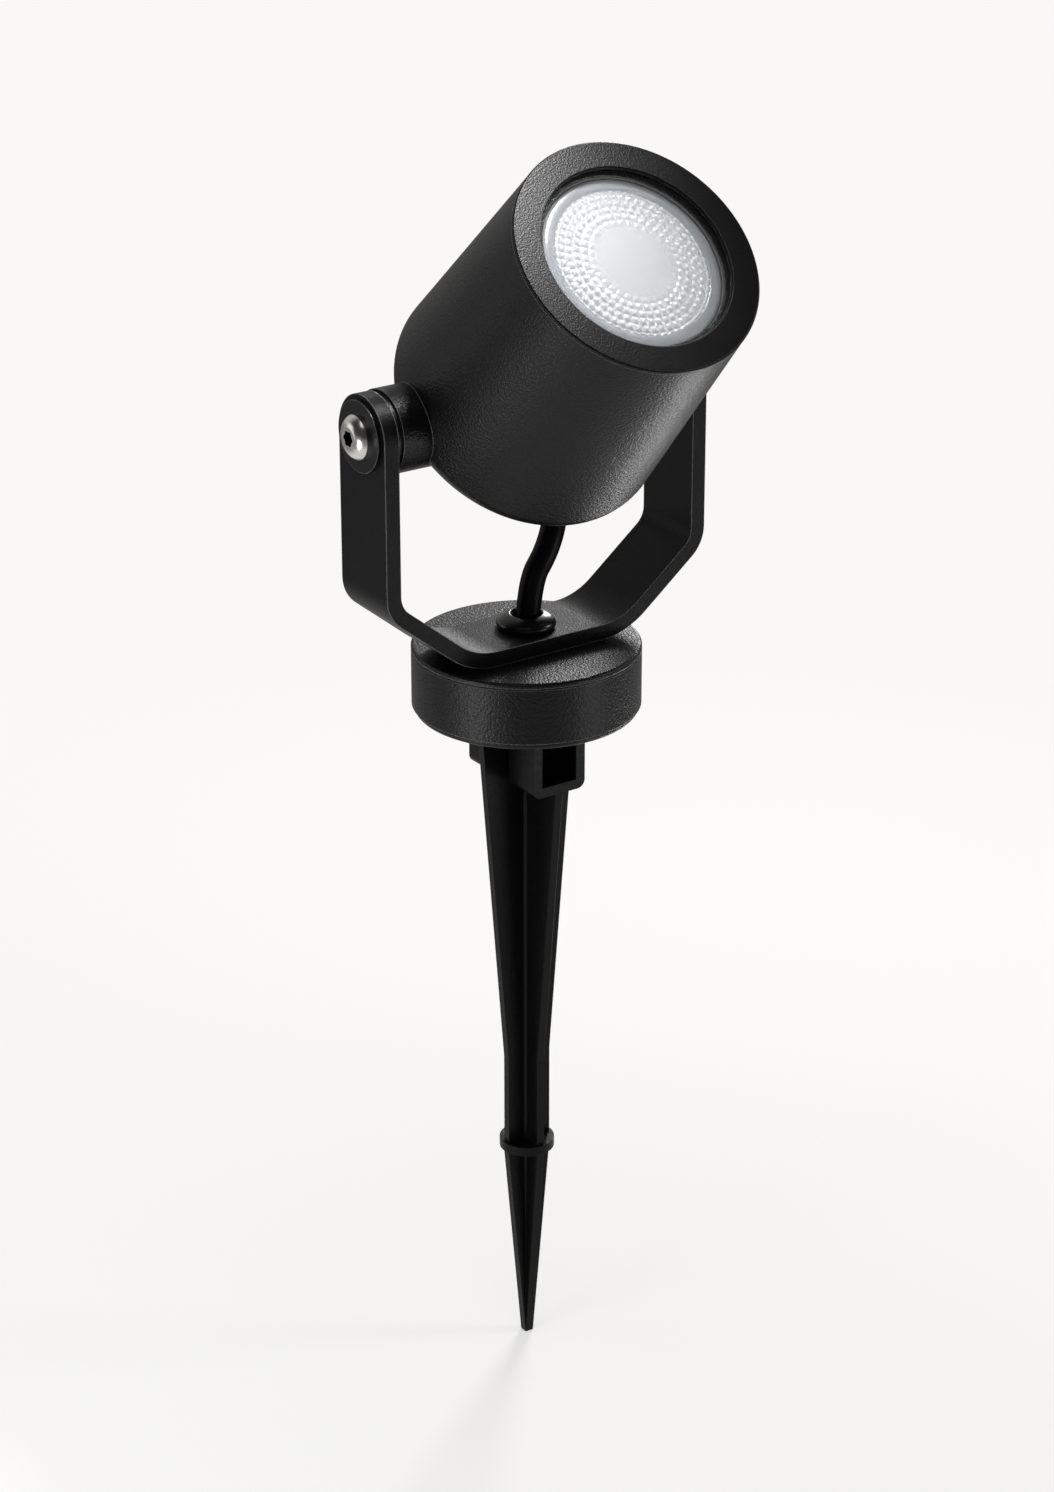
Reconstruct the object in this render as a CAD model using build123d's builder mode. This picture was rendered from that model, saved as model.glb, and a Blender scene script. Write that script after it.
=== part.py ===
"""Garden spike spotlight: a tilting lamp head in a swivelling yoke on a round base with a ground spike.

Millimetres, +Z up. The origin is on the spike's axis at the underside of the base, where the ground
comes to when the spike is pushed in. The yoke tilts the head about an axis parallel to X, and the lamp
faces -Y. Sizes along the head are measured from that tilt axis, forwards along the head's own axis.
"""
from build123d import *
from math import cos, pi, radians, sin
import os

# Base
base_radius = 32.5
cover_edge_height = 2.0
base_height = 20.0
base_top_thickness = 4.0
base_wall = 4.5
cover_post_bite = 0.5
base_edge_radius = 0.8
base_groove_depth = 0.4
base_groove_height = 0.5
base_groove_drop = 1.5
cover_inset = 0.7
cover_edge_radius = 1.2
spigot_height = 2.0
spigot_width = 3.0
gasket_thickness = 1.2
gasket_overhang = 1.0
cover_boss_radius = 10.5
cover_boss_height = 2.0
cover_screw_circle_radius = 23.5
cover_screw_count = 4
cover_screw_radius = 1.5
cover_screw_head_radius = 2.8
cover_screw_head_height = 1.8
cover_screw_length = 10.0
cover_screw_recess = 0.2
inlet_height = 10.6
inlet_bore_radius = 3.25
inlet_neck_radius = 4.5
inlet_flange_radius = 6.2
inlet_inner_flange_radius = 5.1
inlet_flange_thickness = 1.2
inlet_pad_width = 14.0
inlet_pad_depth = 4.0
inlet_flat_depth = 1.0

# Terminal block in the base
terminal_width = 10.0
terminal_length = 21.0
terminal_height = 8.0
terminal_hole_rise = 3.2
terminal_offset = 18.5
terminal_poles = 3
terminal_pitch = 6.5
terminal_screw_radius = 1.5
terminal_screw_spacing = 5.0
terminal_fixing_radius = 0.9
terminal_fixing_head_radius = 1.8
terminal_fixing_grip = 3.0
terminal_slot_width = 0.6

# Spike
spike_fin_radius = 16.2
spike_fin_thickness = 2.5
spike_waist_radius = 7.2
spike_waist_depth = 110.0
spike_core_radius = 2.2
spike_hub_radius = 6.0
spike_hub_depth = 16.0
spike_collar_depth = 138.0
spike_collar_thickness = 2.8
spike_collar_radius = 8.1
spike_point_radius = 7.6
spike_length = 205.0
spike_tip_radius = 1.3
socket_width = 17.5
socket_front = 16.4
socket_depth = 21.0
socket_wall = 3.0
socket_back = 6.5
socket_block_start = 4.0
socket_corner_radius = 2.5
tongue_thickness = 2.5
tongue_depth = 9.0
spike_screw_radius = 2.0
spike_screw_length = 15.0
spike_screw_head_radius = 3.6
spike_screw_head_height = 2.4
spike_slot_width = 1.0
spike_slot_depth = 1.2

# Yoke
yoke_width = 23.0
yoke_thickness = 4.5
yoke_half_span = 53.0
yoke_flat_half_length = 26.0
yoke_bend_height = 21.8
yoke_bend_radius = 6.5
yoke_foot_radius = 20.0
pivot_height = 90.5

# Hollow stem through the yoke and the base's top, and what sits on it
stem_radius = 5.0
stem_wall = 1.3
stem_flange_radius = 7.0
stem_flange_thickness = 1.2
stem_end_height = 10.0
stem_nut_across_flats = 15.0
stem_nut_thickness = 4.0
spring_washer_radius = 9.0
spring_washer_thickness = 0.8
swivel_washer_radius = 10.0
swivel_washer_thickness = 1.0
grommet_radius = 8.5
grommet_height = 4.0
grommet_hole_radius = 4.4
grommet_foot_radius = 7.9
grommet_throat_radius = 3.8
grommet_lip = 0.5
grommet_bulge_height = 1.2
grommet_shoulder_radius = 8.1
grommet_shoulder_drop = 1.7

# Pivot
screw_radius = 3.0
screw_length = 21.0
screw_head_radius = 6.2
screw_head_height = 3.2
screw_head_flat_radius = 3.2
screw_head_edge = 1.0
screw_dome_rise = 0.79
screw_dome_width = 0.56
screw_socket_radius = 2.3
screw_socket_lobe_radius = 0.75
screw_socket_depth = 2.0
outer_washer_radius = 10.0
outer_washer_thickness = 1.1
friction_washer_radius = 11.0
friction_washer_thickness = 1.5
insert_radius = 4.5
insert_length = 12.0
boss_radius = 11.8
boss_inner_end = 26.0
boss_end_radius = 4.0

# Head
tilt_angle = 46.0
head_front = 74.0
head_rear = 4.5
head_front_radius = 35.0
head_rear_radius = 39.3
head_edge_radius = 7.0
head_wall = 3.2
head_rear_wall = 4.0
ring_flange_thickness = 1.2
ring_edge_chamfer = 0.4
ring_opening_radius = 26.85
ring_lip_thickness = 1.0
ring_bevel = 0.5
ring_skirt_radius = 31.2
ring_skirt_length = 7.5
glass_radius = 28.7
glass_thickness = 2.0
glass_gasket_thickness = 1.2
glass_gasket_width = 2.8
ring_seal_radius = 33.4
ring_seal_width = 1.2
ring_seal_thickness = 1.1
lamp_bay_radius = 25.8

# Lamp and its holder
lamp_radius = 25.0
lamp_gap = 0.3
lens_pattern_radius = 21.7
lens_rim_thickness = 2.4
lens_recess = 0.4
lamp_body_length = 30.0
lamp_body_rim = 2.0
lamp_neck_radius = 12.5
lamp_neck_length = 8.0
lamp_shell_wall = 1.4
board_thickness = 1.6
board_depth = 9.0
board_ledge = 1.6
emitter_radius = 5.0
emitter_thickness = 1.2
lamp_base_radius = 11.0
lamp_base_length = 9.0
pin_spacing = 10.0
pin_radius = 1.5
pin_head_radius = 2.4
pin_head_length = 2.0
pin_length = 6.5
holder_radius = 13.0
holder_length = 10.0
plate_thickness = 1.2
plate_width = 26.0
plate_post_spacing = 44.0
plate_post_radius = 3.6
plate_hole_radius = 6.0
plate_screw_radius = 1.5
plate_screw_length = 8.0
small_head_radius = 2.8
small_head_height = 2.0
holder_screw_spacing = 18.0
holder_screw_length = 6.0
holder_core_place = 3.5
holder_core_depth = 3.0
earth_post_radius = 4.0
earth_post_height = 3.0
earth_post_offset = 17.0
earth_screw_radius = 1.7
earth_screw_length = 5.0
earth_head_radius = 3.4
earth_head_height = 2.2
earth_angle = 45
earth_lug_thickness = 0.8
earth_tail_length = 6.5
earth_tail_width = 3.0

# Cable gland behind the head
gland_neck_radius = 5.2
gland_flange_radius = 8.0
gland_flange_thickness = 2.0
gland_tail_radius = 5.6
gland_tail_length = 6.0
gland_cap_radius = 7.4
gland_cap_length = 8.0
gland_cap_end_thickness = 1.6
gland_seal_length = 4.0
gland_locknut_across_flats = 14.0
gland_locknut_thickness = 2.6
gland_bore_radius = 4.9
gland_neck_spare = 0.6
gland_cap_edge_radius = 1.5

# Lead and cores
lead_radius = 3.5
lead_clearance = 0.2
core_radius = 1.1
bend_share = 0.45
core_drop = 1.0
core_turn_reach = 5.5
core_turn_share = 0.4
core_turn_sag = 0.3
core_entry_gap = 0.7
core_entry_depth = 4.0
earth_core_lift = 1.2
lead_bottom = 12.0
lead_top = 1.0
lead_straight = 19.0
core_bundle = [(0.5, -1.6), (-1.7, 0), (0.5, 1.6)]
head_core_places = [(1, 1.25, 0.9), (-1, 1.25, 0.9)]
head_earth_place = (0, -1.3)

# Clearances
running_clearance = 0.05
seat_clearance = 0.3
channel_clearance = 0.25

# Levels worked out from the sizes above
wall_inner_radius = base_radius - base_wall
spigot_radius = wall_inner_radius + spigot_width / 2
spigot_top = cover_edge_height + spigot_height
gasket_top = spigot_top + gasket_thickness
cavity_top = base_height - base_top_thickness
cover_post_radius = wall_inner_radius - cover_screw_circle_radius + cover_post_bite
cover_pocket_depth = cover_screw_head_height + cover_screw_recess
cover_screw_end = cover_pocket_depth + cover_screw_length
inlet_flat = base_radius - inlet_flat_depth
inlet_outer_end = inlet_flat + inlet_flange_thickness
inlet_pad_face = wall_inner_radius - inlet_pad_depth
inlet_inner_end = inlet_pad_face - inlet_flange_thickness
terminal_top = spigot_top + terminal_height
terminal_face = -terminal_offset + terminal_width / 2
core_height = spigot_top + terminal_hole_rise
terminal_screw_depth = terminal_top - core_height - core_radius - running_clearance
pole_places = [(pole - (terminal_poles - 1) / 2) * terminal_pitch for pole in range(terminal_poles)]
terminal_fixings = [(-terminal_offset, -terminal_pitch / 2), (-terminal_offset, terminal_pitch / 2)]
terminal_screw_places = [
    (-terminal_offset + side * terminal_screw_spacing / 2, pole) for side in (-1, 1) for pole in pole_places
]
socket_opening = socket_width - 2 * socket_wall
socket_middle = (socket_back + socket_front) / 2
tongue_place = socket_back + seat_clearance + tongue_thickness / 2
spike_screw_end = spigot_top - spike_screw_head_height - spike_screw_length
yoke_top = base_height + yoke_thickness
arm_inner = yoke_half_span - yoke_thickness
boss_outer = arm_inner - friction_washer_thickness
screw_seat = yoke_half_span + outer_washer_thickness
stem_bore_radius = stem_radius - stem_wall
stem_nut_top = cavity_top - spring_washer_thickness
ring_seat = head_front - ring_flange_thickness
glass_front = head_front - ring_lip_thickness
glass_back = glass_front - glass_thickness
shoulder = glass_back - glass_gasket_thickness
skirt_inner_radius = glass_radius + channel_clearance
skirt_end = ring_seat - ring_skirt_length
lamp_front = glass_back - lamp_gap
lens_back = lamp_front - lens_rim_thickness
lamp_neck = lens_back - lamp_body_length
lamp_base_top = lamp_neck - lamp_neck_length
lamp_base_end = lamp_base_top - lamp_base_length
pin_end = lamp_base_end - pin_length
holder_back = lamp_base_end - holder_length
plate_back = holder_back - plate_thickness
cavity_back = head_rear_wall - head_rear
gland_tail_start = -head_rear - gland_flange_thickness
gland_tail_end = gland_tail_start - gland_tail_length
gland_cap_start = gland_tail_start - seat_clearance
gland_cap_end = gland_cap_start - gland_cap_length
gland_neck_end = cavity_back + gland_locknut_thickness + gland_neck_spare
gland_hole_radius = lead_radius + lead_clearance
plate_screw_places = [(0, plate_post_spacing / 2), (0, -plate_post_spacing / 2)]
holder_screw_places = [(0, holder_screw_spacing / 2), (0, -holder_screw_spacing / 2)]
earth_direction = (cos(radians(earth_angle)), -sin(radians(earth_angle)))
earth_place = tuple(earth_post_offset * part for part in earth_direction)
earth_tail_reach = earth_post_offset - earth_screw_radius - running_clearance - earth_tail_length / 2 - 1
earth_tail_middle = tuple(earth_tail_reach * part for part in earth_direction)
earth_lug_top = cavity_back + earth_post_height + earth_lug_thickness
board_seat = lens_back - board_depth
lamp_taper = (lamp_radius - lamp_neck_radius) / (lamp_body_length - lamp_body_rim)
board_seat_radius = lamp_radius - lamp_shell_wall - lamp_taper * (board_depth - lamp_body_rim) - board_ledge
board_radius = board_seat_radius + board_ledge / 2

# Head frame: local z runs forwards along the head, local y runs up
head = Plane(
    origin=(0, 0, pivot_height),
    x_dir=(1, 0, 0),
    z_dir=(0, -cos(radians(tilt_angle)), sin(radians(tilt_angle))),
)
head_section = Plane(origin=head.origin, x_dir=head.x_dir, z_dir=-head.y_dir)
head_axis = Axis(head.origin, head.z_dir)
across = Plane(origin=(0, 0, pivot_height), x_dir=(0, 1, 0), z_dir=(1, 0, 0))

os.makedirs("parts", exist_ok=True)


def save(builder, label):
    """Labels a finished piece and writes it."""
    builder.part.label = label
    export_step(builder.part, f"parts/{label}.step")


def band(inner, outer, low, high):
    """Rectangle of a section, between two radii and two heights."""
    with Locations(((inner + outer) / 2, (low + high) / 2)):
        Rectangle(outer - inner, high - low)


def outline(*points):
    """Filled outline of a section, drawn where its points say."""
    Polygon(*points, align=None)


def in_head(x, y, z):
    """Point of the head's own frame, in the object's frame."""
    return head.from_local_coords(Vector(x, y, z))


def tube_radii(points):
    """Bend radius at each corner: a set share of the shorter run over the tangent of half the turn."""
    radii = []
    for before, corner, after in zip(points, points[1:], points[2:]):
        run_in = Vector(*corner) - Vector(*before)
        run_out = Vector(*after) - Vector(*corner)
        half_turn = radians(run_in.get_angle(run_out) / 2)
        radii.append(bend_share * min(run_in.length, run_out.length) * cos(half_turn) / sin(half_turn))
    return radii


def tube(label, points, radius):
    """Solid tube along straight runs joined by arcs; prints its length, section and bends."""
    radii = tube_radii(points)
    with BuildPart() as swept:
        with BuildLine() as route:
            FilletPolyline(*points, radius=radii)
        with BuildSketch(Plane(origin=route.line @ 0, z_dir=route.line % 0)):
            Circle(radius)
        sweep()
    length = route.wires()[0].length
    share = swept.part.volume / (pi * radius**2 * length)
    bends = [round(bend, 1) for bend in radii]
    print(f"{label}: length {length:.2f}, volume over section times length {share:.4f}, radii {bends}")
    return swept.part


# ---------------------------------------------------------------- base

with BuildPart() as base_housing:
    with BuildSketch(Plane.XZ):
        outline(
            (0, base_height),
            (base_radius, base_height),
            (base_radius, cover_edge_height),
            (spigot_radius + seat_clearance, cover_edge_height),
            (spigot_radius + seat_clearance, gasket_top),
            (wall_inner_radius, gasket_top),
            (wall_inner_radius, cavity_top),
            (0, cavity_top),
        )
    revolve(axis=Axis.Z)
    fillet(base_housing.edges().group_by(Axis.Z)[-1], base_edge_radius)
    groove_top = base_height - base_groove_drop
    with BuildSketch(Plane.XZ):
        band(base_radius - base_groove_depth, base_radius + 1, groove_top - base_groove_height, groove_top)
    revolve(axis=Axis.Z, mode=Mode.SUBTRACT)
    with BuildSketch(Plane.XY.offset(gasket_top)):
        with PolarLocations(cover_screw_circle_radius, cover_screw_count, start_angle=45):
            Circle(cover_post_radius)
        with Locations((0, wall_inner_radius)):
            Rectangle(inlet_pad_width, 2 * inlet_pad_depth)
    extrude(amount=cavity_top - gasket_top)
    with BuildSketch(Plane.XY.offset(gasket_top)):
        with PolarLocations(cover_screw_circle_radius, cover_screw_count, start_angle=45):
            Circle(cover_screw_radius + running_clearance)
    extrude(amount=cover_screw_end - gasket_top + seat_clearance, mode=Mode.SUBTRACT)
    with BuildSketch(Plane.XY.offset(base_height)):
        Circle(swivel_washer_radius + seat_clearance)
    extrude(amount=-swivel_washer_thickness, mode=Mode.SUBTRACT)
    with BuildSketch(Plane.XY.offset(cavity_top)):
        Circle(stem_radius + running_clearance)
    extrude(amount=base_top_thickness, mode=Mode.SUBTRACT)
    with BuildSketch(Plane(origin=(0, inlet_flat, inlet_height), z_dir=(0, 1, 0))):
        Circle(inlet_flange_radius + seat_clearance)
    extrude(amount=2 * inlet_flat_depth, mode=Mode.SUBTRACT)
    with BuildSketch(Plane(origin=(0, inlet_pad_face, inlet_height), z_dir=(0, 1, 0))):
        Circle(inlet_neck_radius + running_clearance)
    extrude(amount=inlet_flat - inlet_pad_face, mode=Mode.SUBTRACT)
save(base_housing, "base_housing")

with BuildPart() as base_cover:
    with BuildSketch(Plane.XZ):
        outline(
            (0, -cover_boss_height),
            (cover_boss_radius, -cover_boss_height),
            (cover_boss_radius, 0),
            (base_radius - cover_inset, 0),
            (base_radius - cover_inset, cover_edge_height),
            (spigot_radius, cover_edge_height),
            (spigot_radius, spigot_top),
            (0, spigot_top),
        )
    revolve(axis=Axis.Z)
    rim = base_cover.edges().filter_by(GeomType.CIRCLE).filter_by(lambda e: abs(e.center().Z) < 0.01)
    fillet(rim.sort_by(SortBy.LENGTH)[-1], cover_edge_radius)
    with BuildSketch(Plane.XY):
        with Locations((0, tongue_place), (0, -tongue_place)):
            Rectangle(socket_opening - 2 * seat_clearance, tongue_thickness)
    extrude(amount=-tongue_depth)
    with BuildSketch(Plane.XY):
        with PolarLocations(cover_screw_circle_radius, cover_screw_count, start_angle=45):
            Circle(cover_screw_head_radius + seat_clearance)
    extrude(amount=cover_pocket_depth, mode=Mode.SUBTRACT)
    with BuildSketch(Plane.XY):
        with PolarLocations(cover_screw_circle_radius, cover_screw_count, start_angle=45):
            Circle(cover_screw_radius + seat_clearance)
    extrude(amount=spigot_top, mode=Mode.SUBTRACT)
    with BuildSketch(Plane.XY.offset(spigot_top)):
        Circle(spike_screw_head_radius + seat_clearance)
    extrude(amount=-spike_screw_head_height, mode=Mode.SUBTRACT)
    with BuildSketch(Plane.XY.offset(-cover_boss_height)):
        Circle(spike_screw_radius + seat_clearance)
    extrude(amount=cover_boss_height + spigot_top, mode=Mode.SUBTRACT)
    with BuildSketch(Plane.XY.offset(spigot_top)):
        with Locations(*terminal_fixings):
            Circle(terminal_fixing_radius + running_clearance)
    extrude(amount=-terminal_fixing_grip, mode=Mode.SUBTRACT)
save(base_cover, "base_cover")

with BuildPart() as base_gasket:
    with BuildSketch(Plane.XZ):
        band(wall_inner_radius - gasket_overhang, spigot_radius, spigot_top, gasket_top)
    revolve(axis=Axis.Z)
save(base_gasket, "base_gasket")

with BuildPart() as cover_screws:
    with BuildSketch(Plane.XY.offset(cover_pocket_depth)):
        with PolarLocations(cover_screw_circle_radius, cover_screw_count, start_angle=45):
            Circle(cover_screw_head_radius)
    extrude(amount=-cover_screw_head_height)
    with BuildSketch(Plane.XY.offset(cover_pocket_depth)):
        with PolarLocations(cover_screw_circle_radius, cover_screw_count, start_angle=45):
            Circle(cover_screw_radius)
    extrude(amount=cover_screw_length)
save(cover_screws, "cover_screws")

with BuildPart() as inlet_gland:
    with BuildSketch(Plane.XY.offset(inlet_height)):
        band(inlet_bore_radius, inlet_neck_radius, inlet_inner_end, inlet_outer_end)
        band(inlet_bore_radius, inlet_flange_radius, inlet_flat, inlet_outer_end)
        band(inlet_bore_radius, inlet_inner_flange_radius, inlet_inner_end, inlet_pad_face)
    revolve(axis=Axis((0, 0, inlet_height), (0, 1, 0)))
save(inlet_gland, "inlet_gland")

with BuildPart() as swivel_washer:
    with BuildSketch(Plane.XZ):
        band(
            stem_radius + seat_clearance,
            swivel_washer_radius,
            base_height - swivel_washer_thickness,
            base_height,
        )
    revolve(axis=Axis.Z)
save(swivel_washer, "swivel_washer")

# ---------------------------------------------------------------- terminal block

with BuildPart() as terminal_block:
    with BuildSketch(Plane.XY.offset(spigot_top)):
        with Locations((-terminal_offset, 0)):
            Rectangle(terminal_width, terminal_length)
    extrude(amount=terminal_height)
    with BuildSketch(Plane.XY.offset(terminal_top)):
        with Locations(*terminal_screw_places):
            Circle(terminal_screw_radius + running_clearance)
    extrude(amount=core_height - terminal_top, mode=Mode.SUBTRACT)
    with BuildSketch(Plane.XY.offset(spigot_top)):
        with Locations(*terminal_fixings):
            Circle(terminal_fixing_radius + seat_clearance)
    extrude(amount=terminal_height, mode=Mode.SUBTRACT)
    with BuildSketch(Plane(origin=(-terminal_offset, 0, core_height), x_dir=(0, 1, 0), z_dir=(1, 0, 0))):
        with Locations(*[(y, 0) for y in pole_places]):
            Circle(core_radius + seat_clearance)
    extrude(amount=terminal_width / 2, both=True, mode=Mode.SUBTRACT)
save(terminal_block, "terminal_block")

with BuildPart() as terminal_screws:
    with BuildSketch(Plane.XY.offset(terminal_top)):
        with Locations(*terminal_screw_places):
            Circle(terminal_screw_radius)
    extrude(amount=-terminal_screw_depth)
    with BuildSketch(Plane.XY.offset(terminal_top)):
        with Locations(*terminal_screw_places):
            Rectangle(2 * terminal_screw_radius, terminal_slot_width)
    extrude(amount=-terminal_slot_width, mode=Mode.SUBTRACT)
save(terminal_screws, "terminal_screws")

with BuildPart() as terminal_fixing_screws:
    with BuildSketch(Plane.XY.offset(terminal_top)):
        with Locations(*terminal_fixings):
            Circle(terminal_fixing_head_radius)
    extrude(amount=terminal_fixing_radius)
    with BuildSketch(Plane.XY.offset(terminal_top)):
        with Locations(*terminal_fixings):
            Circle(terminal_fixing_radius)
    extrude(amount=-(terminal_height + terminal_fixing_grip))
save(terminal_fixing_screws, "terminal_fixing_screws")

base_core_tubes = [
    tube(
        "base core",
        [
            (core_x, core_y, lead_bottom),
            (core_x, core_y, core_height + core_drop),
            (
                core_x - core_turn_reach,
                core_y + core_turn_share * (pole - core_y),
                core_height - core_turn_sag,
            ),
            (terminal_face + core_entry_gap, pole, core_height),
            (terminal_face - core_entry_depth, pole, core_height),
        ],
        core_radius,
    )
    for (core_x, core_y), pole in zip(core_bundle, pole_places)
]
with BuildPart() as base_cores:
    add(base_core_tubes)
save(base_cores, "base_cores")

# ---------------------------------------------------------------- spike

with BuildPart() as spike:
    waist_point = (spike_waist_radius, -spike_waist_depth)
    collar_point = (spike_waist_radius, -spike_collar_depth)
    point_start = (spike_point_radius, -spike_collar_depth)
    tip_point = (spike_tip_radius, -spike_length)
    side_fin = [(spike_fin_radius, 0), waist_point, collar_point, point_start, tip_point]
    front_fin = [(socket_front, 0), (socket_front, -socket_depth), *side_fin[1:]]
    for plane, edge in ((Plane.XZ, side_fin), (Plane.YZ, front_fin)):
        with BuildSketch(plane):
            outline(*edge, *[(-across_fin, level) for across_fin, level in reversed(edge)])
        extrude(amount=spike_fin_thickness / 2, both=True)
    with BuildSketch(Plane.XZ):
        outline(
            (0, 0),
            (spike_hub_radius, 0),
            (spike_hub_radius, -spike_hub_depth),
            (spike_core_radius, -spike_hub_depth - spike_hub_radius),
            (spike_core_radius, -spike_collar_depth),
            (spike_collar_radius, -spike_collar_depth),
            (spike_collar_radius, -spike_collar_depth - spike_collar_thickness),
            (spike_core_radius, -spike_collar_depth - spike_collar_thickness),
            (spike_tip_radius, -spike_length),
            (0, -spike_length),
        )
    revolve(axis=Axis.Z)
    with BuildSketch(Plane.XZ.offset(socket_block_start)) as socket_outline:
        with Locations((0, -socket_depth / 2)):
            Rectangle(socket_width, socket_depth)
        fillet(socket_outline.vertices().group_by(Axis.Y)[0], socket_corner_radius)
    extrude(amount=socket_front - socket_block_start)
    mirror(about=Plane.XZ)
    with BuildSketch(Plane.XY.offset(-(socket_depth - socket_wall))):
        with Locations((0, socket_middle), (0, -socket_middle)):
            Rectangle(socket_opening, socket_front - socket_back)
    extrude(amount=socket_depth, mode=Mode.SUBTRACT)
    with BuildSketch(Plane.XY):
        Circle(cover_boss_radius + seat_clearance)
    extrude(amount=-cover_boss_height, mode=Mode.SUBTRACT)
    with BuildSketch(Plane.XY):
        Circle(spike_screw_radius + running_clearance)
    extrude(amount=spike_screw_end - seat_clearance, mode=Mode.SUBTRACT)
save(spike, "spike")

with BuildPart() as spike_screw:
    with BuildSketch(Plane.XY.offset(spigot_top)):
        Circle(spike_screw_head_radius)
    extrude(amount=-spike_screw_head_height)
    with BuildSketch(Plane.XY.offset(spigot_top - spike_screw_head_height)):
        Circle(spike_screw_radius)
    extrude(amount=-spike_screw_length)
    with BuildSketch(Plane.XY.offset(spigot_top)):
        RectangleRounded(2 * spike_screw_radius, spike_slot_width, spike_slot_width / 3)
        RectangleRounded(spike_slot_width, 2 * spike_screw_radius, spike_slot_width / 3)
    extrude(amount=-spike_slot_depth, mode=Mode.SUBTRACT)
save(spike_screw, "spike_screw")

# ---------------------------------------------------------------- yoke and stem

with BuildPart() as yoke:
    bend_radius = yoke_bend_radius + yoke_thickness
    foot_radius = yoke_foot_radius + yoke_thickness
    with BuildSketch(Plane.XZ):
        with BuildLine() as bar:
            FilletPolyline(
                (-yoke_half_span, pivot_height + yoke_width / 2),
                (-yoke_half_span, base_height + yoke_bend_height),
                (-yoke_flat_half_length, base_height),
                (yoke_flat_half_length, base_height),
                (yoke_half_span, base_height + yoke_bend_height),
                (yoke_half_span, pivot_height + yoke_width / 2),
                radius=[bend_radius, foot_radius, foot_radius, bend_radius],
            )
            offset(amount=yoke_thickness, side=Side.LEFT)
        make_face()
    extrude(amount=yoke_width / 2, both=True)
    with BuildSketch(across.offset(-2 * yoke_half_span)):
        Circle(yoke_width / 2)
        with Locations((0, -pivot_height / 2)):
            Rectangle(yoke_width, pivot_height)
    extrude(amount=4 * yoke_half_span, mode=Mode.INTERSECT)
    with BuildSketch(across):
        Circle(screw_radius + running_clearance)
    extrude(amount=2 * yoke_half_span, both=True, mode=Mode.SUBTRACT)
    with BuildSketch(Plane.XY.offset(base_height)):
        Circle(stem_radius + running_clearance)
    extrude(amount=yoke_thickness, mode=Mode.SUBTRACT)
save(yoke, "yoke")

with BuildPart() as stem:
    with BuildSketch(Plane.XZ):
        band(stem_bore_radius, stem_radius, stem_end_height, yoke_top + stem_flange_thickness)
        band(stem_bore_radius, stem_flange_radius, yoke_top, yoke_top + stem_flange_thickness)
    revolve(axis=Axis.Z)
save(stem, "stem")

with BuildPart() as stem_spring_washer:
    with BuildSketch(Plane.XZ):
        band(stem_radius + running_clearance, spring_washer_radius, stem_nut_top, cavity_top)
    revolve(axis=Axis.Z)
save(stem_spring_washer, "stem_spring_washer")

with BuildPart() as stem_nut:
    with BuildSketch(Plane.XY.offset(stem_nut_top)):
        RegularPolygon(stem_nut_across_flats / 2, 6, major_radius=False)
        Circle(stem_radius + running_clearance, mode=Mode.SUBTRACT)
    extrude(amount=-stem_nut_thickness)
save(stem_nut, "stem_nut")

with BuildPart() as stem_grommet:
    cup_radius = stem_flange_radius + seat_clearance
    cup_top = yoke_top + stem_flange_thickness + seat_clearance
    grommet_top = yoke_top + grommet_height
    lip_radius = grommet_hole_radius + grommet_lip
    with BuildSketch(Plane.XZ):
        with BuildLine():
            Polyline(
                (grommet_hole_radius, grommet_top - grommet_lip),
                (grommet_throat_radius, grommet_top - grommet_height / 2),
                (grommet_throat_radius, cup_top),
                (cup_radius, cup_top),
                (cup_radius, yoke_top),
                (grommet_foot_radius, yoke_top),
            )
            ThreePointArc(
                (grommet_foot_radius, yoke_top),
                (grommet_radius, yoke_top + grommet_bulge_height),
                (grommet_shoulder_radius, grommet_top - grommet_shoulder_drop),
            )
            ThreePointArc(
                (grommet_shoulder_radius, grommet_top - grommet_shoulder_drop),
                (lip_radius + grommet_shoulder_drop / 2, grommet_top - grommet_lip / 2),
                (lip_radius, grommet_top),
            )
            RadiusArc(
                (lip_radius, grommet_top),
                (grommet_hole_radius, grommet_top - grommet_lip),
                -grommet_lip,
            )
        make_face()
    revolve(axis=Axis.Z)
save(stem_grommet, "stem_grommet")

# ---------------------------------------------------------------- pivot hardware

with BuildPart() as friction_washers:
    with BuildSketch(across.offset(boss_outer)):
        Circle(friction_washer_radius)
        Circle(screw_radius + running_clearance, mode=Mode.SUBTRACT)
    extrude(amount=friction_washer_thickness)
    mirror(about=Plane.YZ)
save(friction_washers, "friction_washers")

with BuildPart() as outer_washers:
    with BuildSketch(across.offset(yoke_half_span)):
        Circle(outer_washer_radius)
        Circle(screw_radius + running_clearance, mode=Mode.SUBTRACT)
    extrude(amount=outer_washer_thickness)
    mirror(about=Plane.YZ)
save(outer_washers, "outer_washers")

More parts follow.
